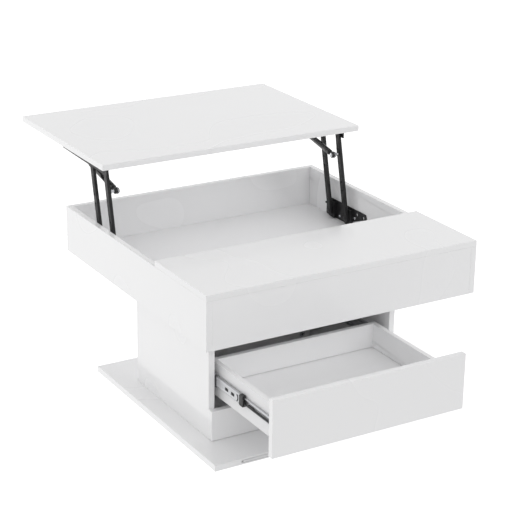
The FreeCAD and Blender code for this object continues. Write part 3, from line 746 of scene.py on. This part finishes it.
def stud_profile(length):
    """A strut's stud: a plain end, a groove at a third of its length and a domed head."""
    r = RIVET_R
    plain = [(0, 0), (r * 0.85, 0), (r, 0.4 * MM)]
    groove = [(r, 0.28 * length), (r * 0.8, 0.3 * length), (r * 0.8, 0.34 * length), (r, 0.36 * length)]
    return plain + groove + far_dome(length, RIVET_HEAD_R, r, RIVET_FAR)


def rivets():
    """Pivot rivets with domed heads, and the studs that hold the struts."""
    turned = [("domed_", "base_rivets", "carcass", rivet_profile),
              ("domed_", "top_rivets", "lid", rivet_profile),
              ("turned_", "strut_rear_studs", "lid", stud_profile)]
    turned += [("turned_", "strut_front_stud_" + side, "tube_" + side, stud_profile) for side in SIDES]
    for prefix, node, body, profile_of in turned:
        bm = bmesh.new()
        for place, length in ends_of(node, "X", on_left):
            lathe(bm, profile_of(length), place @ Matrix.Translation((0, 0, -length)), 36)
        stand_for(new_piece(prefix + node, bm, 40), body, SLOT_OF[node], node)


# ---------------------------------------------------------------- gas struts
TUBE_R, PISTON_R, ROD_R = 7.5 * MM, 6.25 * MM, 3.0 * MM
CLOSED_R, OPEN_R = 2.0 * MM, 2.2 * MM               # how round a tube's closed and open ends are
CRIMPS, CRIMP_DEPTH = (0.09, 0.86), 0.7 * MM        # a tube's two crimps, as shares of its length
BORE_R, BORE_DEPTH = 3.1 * MM, 9 * MM               # the bore that the rod runs in, and its depth
NECK_R, GAP_R = 5.2 * MM, 4.5 * MM                  # a socket's neck and the grooves between its ribs
NECK_START, GAP_START, GAP_PITCH, GAPS = 5.5 * MM, 7.6 * MM, 2.0 * MM, 3
EYE_R, COLLAR_R = 8.0 * MM, 5.0 * MM
ROD_STOP = 7 * MM                                   # how far a rod ends before its eye's middle
CLIP_WIRE, CLIP_R = 0.8 * MM, 8.3 * MM
CLIP_TURNS = range(35, 326, 10)                     # degrees round the socket that the wire passes
CLIP_SHARE = 0.35                                   # its place over the socket's half width


class Strut:
    """Where one side's gas strut runs: from its front stud back to its rear stud."""

    def __init__(self, side, rear_low, rear_high):
        front_low, front_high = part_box("strut_front_stud_" + side)
        socket_low, socket_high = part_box("strut_socket_" + side)
        x = (socket_low.x + socket_high.x) / 2
        self.side = side
        self.half = (socket_high.x - socket_low.x) / 2
        self.front = Vector((x, (front_low.y + front_high.y) / 2, (front_low.z + front_high.z) / 2))
        self.back = Vector((x, (rear_low.y + rear_high.y) / 2, (rear_low.z + rear_high.z) / 2))
        self.axis = (self.back - self.front).normalized()
        self.length = (self.back - self.front).length
        self.place = frame_along(self.front, self.axis, X)

    def reach(self, name):
        """How far this side's node of a name reaches along the strut: (start, end)."""
        vertices = NODES[name + self.side].data.vertices
        along = [(vert.co - self.front).dot(self.axis) for vert in vertices]
        return min(along), max(along)

    def housing(self, bm, centre):
        """A round eye across the strut, with rims and a dished face."""
        half = self.half
        profile = [(EYE_R * 0.52, -half * 0.86), (EYE_R * 0.72, -half * 0.86), (EYE_R * 0.78, -half),
                   (EYE_R * 0.92, -half), (EYE_R, -half * 0.82), (EYE_R, half * 0.82), (EYE_R * 0.92, half),
                   (EYE_R * 0.78, half), (EYE_R * 0.72, half * 0.86), (EYE_R * 0.52, half * 0.86)]
        lathe(bm, profile, frame_along(centre, X, self.axis), 40, ends=0)

    def tube(self):
        """A pressure tube with two crimps, round at its closed end and rolled in round the rod."""
        start, end = self.reach("strut_tube_")
        profile = [(TUBE_R * 0.62, start)] + arc((TUBE_R - CLOSED_R, start + CLOSED_R), CLOSED_R, -90, 0, 5)
        for share in CRIMPS:
            y = start + share * (end - start)
            crimp = TUBE_R - CRIMP_DEPTH
            profile += [(TUBE_R, y - 1.4 * MM), (crimp, y - 0.5 * MM), (crimp, y + 0.5 * MM),
                        (TUBE_R, y + 1.4 * MM)]
        profile += arc((TUBE_R - OPEN_R, end - OPEN_R), OPEN_R, 0, 80, 5)
        profile += [(TUBE_R * 0.6, end), (TUBE_R * 0.6, end - MM), (BORE_R, end - MM),
                    (BORE_R, end - BORE_DEPTH)]
        bm = bmesh.new()
        lathe(bm, profile, self.place, 48)
        piece = new_piece("crimped_strut_tube_" + self.side, bm, 32)
        stand_for(piece, "tube_" + self.side, "black_tube", "strut_tube_" + self.side)

    def socket(self):
        """The plastic socket on the front stud, with a ribbed neck to the tube."""
        bm = bmesh.new()
        self.housing(bm, self.front)
        neck = [(NECK_R, NECK_START)]
        for i in range(GAPS):
            y = GAP_START + i * GAP_PITCH
            neck += [(NECK_R, y), (GAP_R, y + 0.4 * MM), (GAP_R, y + 1.0 * MM), (NECK_R, y + 1.4 * MM)]
        tube_start = self.reach("strut_tube_")[0]
        lathe(bm, neck + [(NECK_R, tube_start)], self.place, 36)
        piece = new_piece("ribbed_strut_socket_" + self.side, bm, 40)
        stand_for(piece, "tube_" + self.side, "black_plastic", "strut_socket_" + self.side)

    def clip(self):
        """The bright wire clip round the front socket."""
        across = frame_along(self.front, X, self.axis)
        bm = bmesh.new()
        rings = []
        for turn in CLIP_TURNS:
            outward = Vector((math.cos(math.radians(turn)), math.sin(math.radians(turn)), 0))
            ring = [across @ (outward * (CLIP_R + CLIP_WIRE * math.cos(a))
                              + Z * (self.half * CLIP_SHARE + CLIP_WIRE * math.sin(a)))
                    for a in full_turn(10)]
            rings.append([bm.verts.new(point) for point in ring])
        stacked(bm, rings)
        stand_for(new_piece("strut_clip_" + self.side, bm, 60), "tube_" + self.side, "bright_zinc")

    def rod(self):
        """The ground rod with its grooved piston inside the tube."""
        near = self.reach("strut_rod_")[0]
        groove = PISTON_R * 0.85
        profile = [(PISTON_R * 0.9, near), (PISTON_R, near + 0.5 * MM), (PISTON_R, near + 2 * MM),
                   (groove, near + 2.3 * MM), (groove, near + 3.7 * MM), (PISTON_R, near + 4 * MM),
                   (PISTON_R, near + 5.5 * MM), (PISTON_R * 0.9, near + 6 * MM), (ROD_R, near + 6 * MM),
                   (ROD_R, self.length - ROD_STOP)]
        bm = bmesh.new()
        lathe(bm, profile, self.place, 36)
        piece = new_piece("ground_strut_rod_" + self.side, bm, 35)
        stand_for(piece, "rod_" + self.side, "rod_chrome", "strut_rod_" + self.side)

    def rod_eye(self):
        """The plastic eye on the rear stud, with a collar for the rod."""
        bm = bmesh.new()
        self.housing(bm, self.back)
        collar = [(COLLAR_R - 0.8 * MM, self.length - 13 * MM), (COLLAR_R, self.length - 12.4 * MM),
                  (COLLAR_R, self.length - 5 * MM)]
        lathe(bm, collar, self.place, 36)
        stand_for(new_piece("strut_rod_eye_" + self.side, bm, 40), "rod_" + self.side, "black_plastic")


def struts():
    """Both sides' gas struts."""
    rear = sorted(islands("strut_rear_studs"), key=lambda pair: pair[0].x)
    for side, (low, high) in zip(SIDES, rear):
        strut = Strut(side, low, high)
        for make in (strut.tube, strut.socket, strut.clip, strut.rod, strut.rod_eye):
            make()


# ---------------------------------------------------------------- carried-over CAD nodes
EASE = {"gloss_lacquer": 0.7 * MM, "white_melamine": 0.4 * MM, "black_steel": 0.3 * MM,
        "black_tube": 0.3 * MM, "rod_chrome": 0.2 * MM, "zinc_sheet": 0.1 * MM, "bright_zinc": 0.2 * MM,
        "black_plastic": 0.4 * MM, "beech": 0.3 * MM, "felt": 0.4 * MM}
ARM_EDGE = 1.1 * MM          # the lift arms are rounder than the other black steel


def finish_cad_nodes():
    """Every CAD node gets its slot's material, and those still seen get eased edges."""
    for node, piece in NODES.items():
        slot = SLOT_OF[node]
        paint(piece, slot)
        if node not in REPLACED:
            ease(node, ARM_EDGE if "_arm_" in node else EASE[slot])


# ---------------------------------------------------------------- stage, camera and light
FLOOR_SIZE, FLOOR_GLOW = 60, 0.95
CAMERA_AT = (-1.8771, -3.1107, 1.7270)      # metres
CAMERA_TURNS = (30.820, 20.676, 0.802)      # degrees: azimuth from +Y toward +X, downward tilt and roll
LENS, SENSOR_WIDTH = 113.54, 36.0           # mm
STUDIO = (      # direction each broad light comes from, how narrow it is, and its strength
    ((-1, 1, 0.3), 3, 1.1),      # window, behind the table's left
    ((1, 0, 0.1), 2, 1.3),       # the wall at its right
    ((0, -1, 1), 3, 1.25),       # over the camera
    ((0, 1, 0), 2, 0.8),         # backdrop
    ((-1, -1, 0.3), 3, 0.45),    # beside the camera
    ((0, 0, -1), 1, 0.8),        # off the pale floor
)


def stage():
    """A floor that the camera sees glow white. It neither shades nor lights the table: lights() does."""
    bpy.ops.mesh.primitive_plane_add(size=FLOOR_SIZE, location=(0, 0, 0))
    floor = bpy.context.object
    floor.name = "studio_floor"
    s = Shader("studio_floor", (0.25, 0.25, 0.25), 0.6, emission_strength=FLOOR_GLOW)
    s.set("Emission Color", (1, 1, 1, 1))
    s.vary_roughness(s.noise(3.0), 0.05)
    floor.data.materials.append(s.material)
    floor.visible_diffuse = floor.visible_glossy = floor.visible_shadow = False


def camera():
    """The camera that sees the table as it was photographed."""
    azimuth, tilt, roll = (math.radians(a) for a in CAMERA_TURNS)
    ahead = Vector((math.sin(azimuth), math.cos(azimuth), 0))
    forward = ahead * math.cos(tilt) - Z * math.sin(tilt)
    level = Vector((math.cos(azimuth), -math.sin(azimuth), 0))
    upright = level.cross(forward)
    right = math.cos(roll) * level + math.sin(roll) * upright
    up = math.cos(roll) * upright - math.sin(roll) * level
    data = bpy.data.cameras.new("camera")
    data.lens, data.sensor_width, data.clip_end = LENS, SENSOR_WIDTH, 200
    piece = bpy.data.objects.new("camera", data)
    bpy.context.scene.collection.objects.link(piece)
    turn = Matrix((right, up, -forward)).transposed().to_4x4()
    piece.matrix_world = Matrix.Translation(CAMERA_AT) @ turn
    bpy.context.scene.camera = piece


def lights():
    """A white studio: broad soft light from several sides and from the pale floor."""
    world = bpy.data.worlds.new("studio")
    world.use_nodes = True
    tree = world.node_tree
    place = tree.nodes.new("ShaderNodeTexCoord").outputs["Generated"]

    def math_node(operation, first, second):
        """The output of a math node for a socket and either another socket or a number."""
        node = tree.nodes.new("ShaderNodeMath")
        node.operation = operation
        tree.links.new(first, node.inputs[0])
        if isinstance(second, bpy.types.NodeSocket):
            tree.links.new(second, node.inputs[1])
        else:
            node.inputs[1].default_value = second
        return node.outputs[0]

    total = None
    for direction, power, strength in STUDIO:
        dot = tree.nodes.new("ShaderNodeVectorMath")
        dot.operation = "DOT_PRODUCT"
        dot.inputs[1].default_value = Vector(direction).normalized()
        tree.links.new(place, dot.inputs[0])
        facing = math_node("MAXIMUM", dot.outputs["Value"], 0.0)
        lobe = math_node("MULTIPLY", math_node("POWER", facing, power), strength)
        total = lobe if total is None else math_node("ADD", lobe, total)
    background = tree.nodes["Background"]
    background.inputs["Color"].default_value = (1, 1, 1, 1)
    tree.links.new(total, background.inputs["Strength"])
    bpy.context.scene.world = world
    bpy.context.scene.view_settings.view_transform = "Standard"


for build in (slide_members, slide_bumpers, release_levers, ball_cages, screws, cams, dowels, rivets, struts):
    build()
finish_cad_nodes()
stage()
camera()
lights()
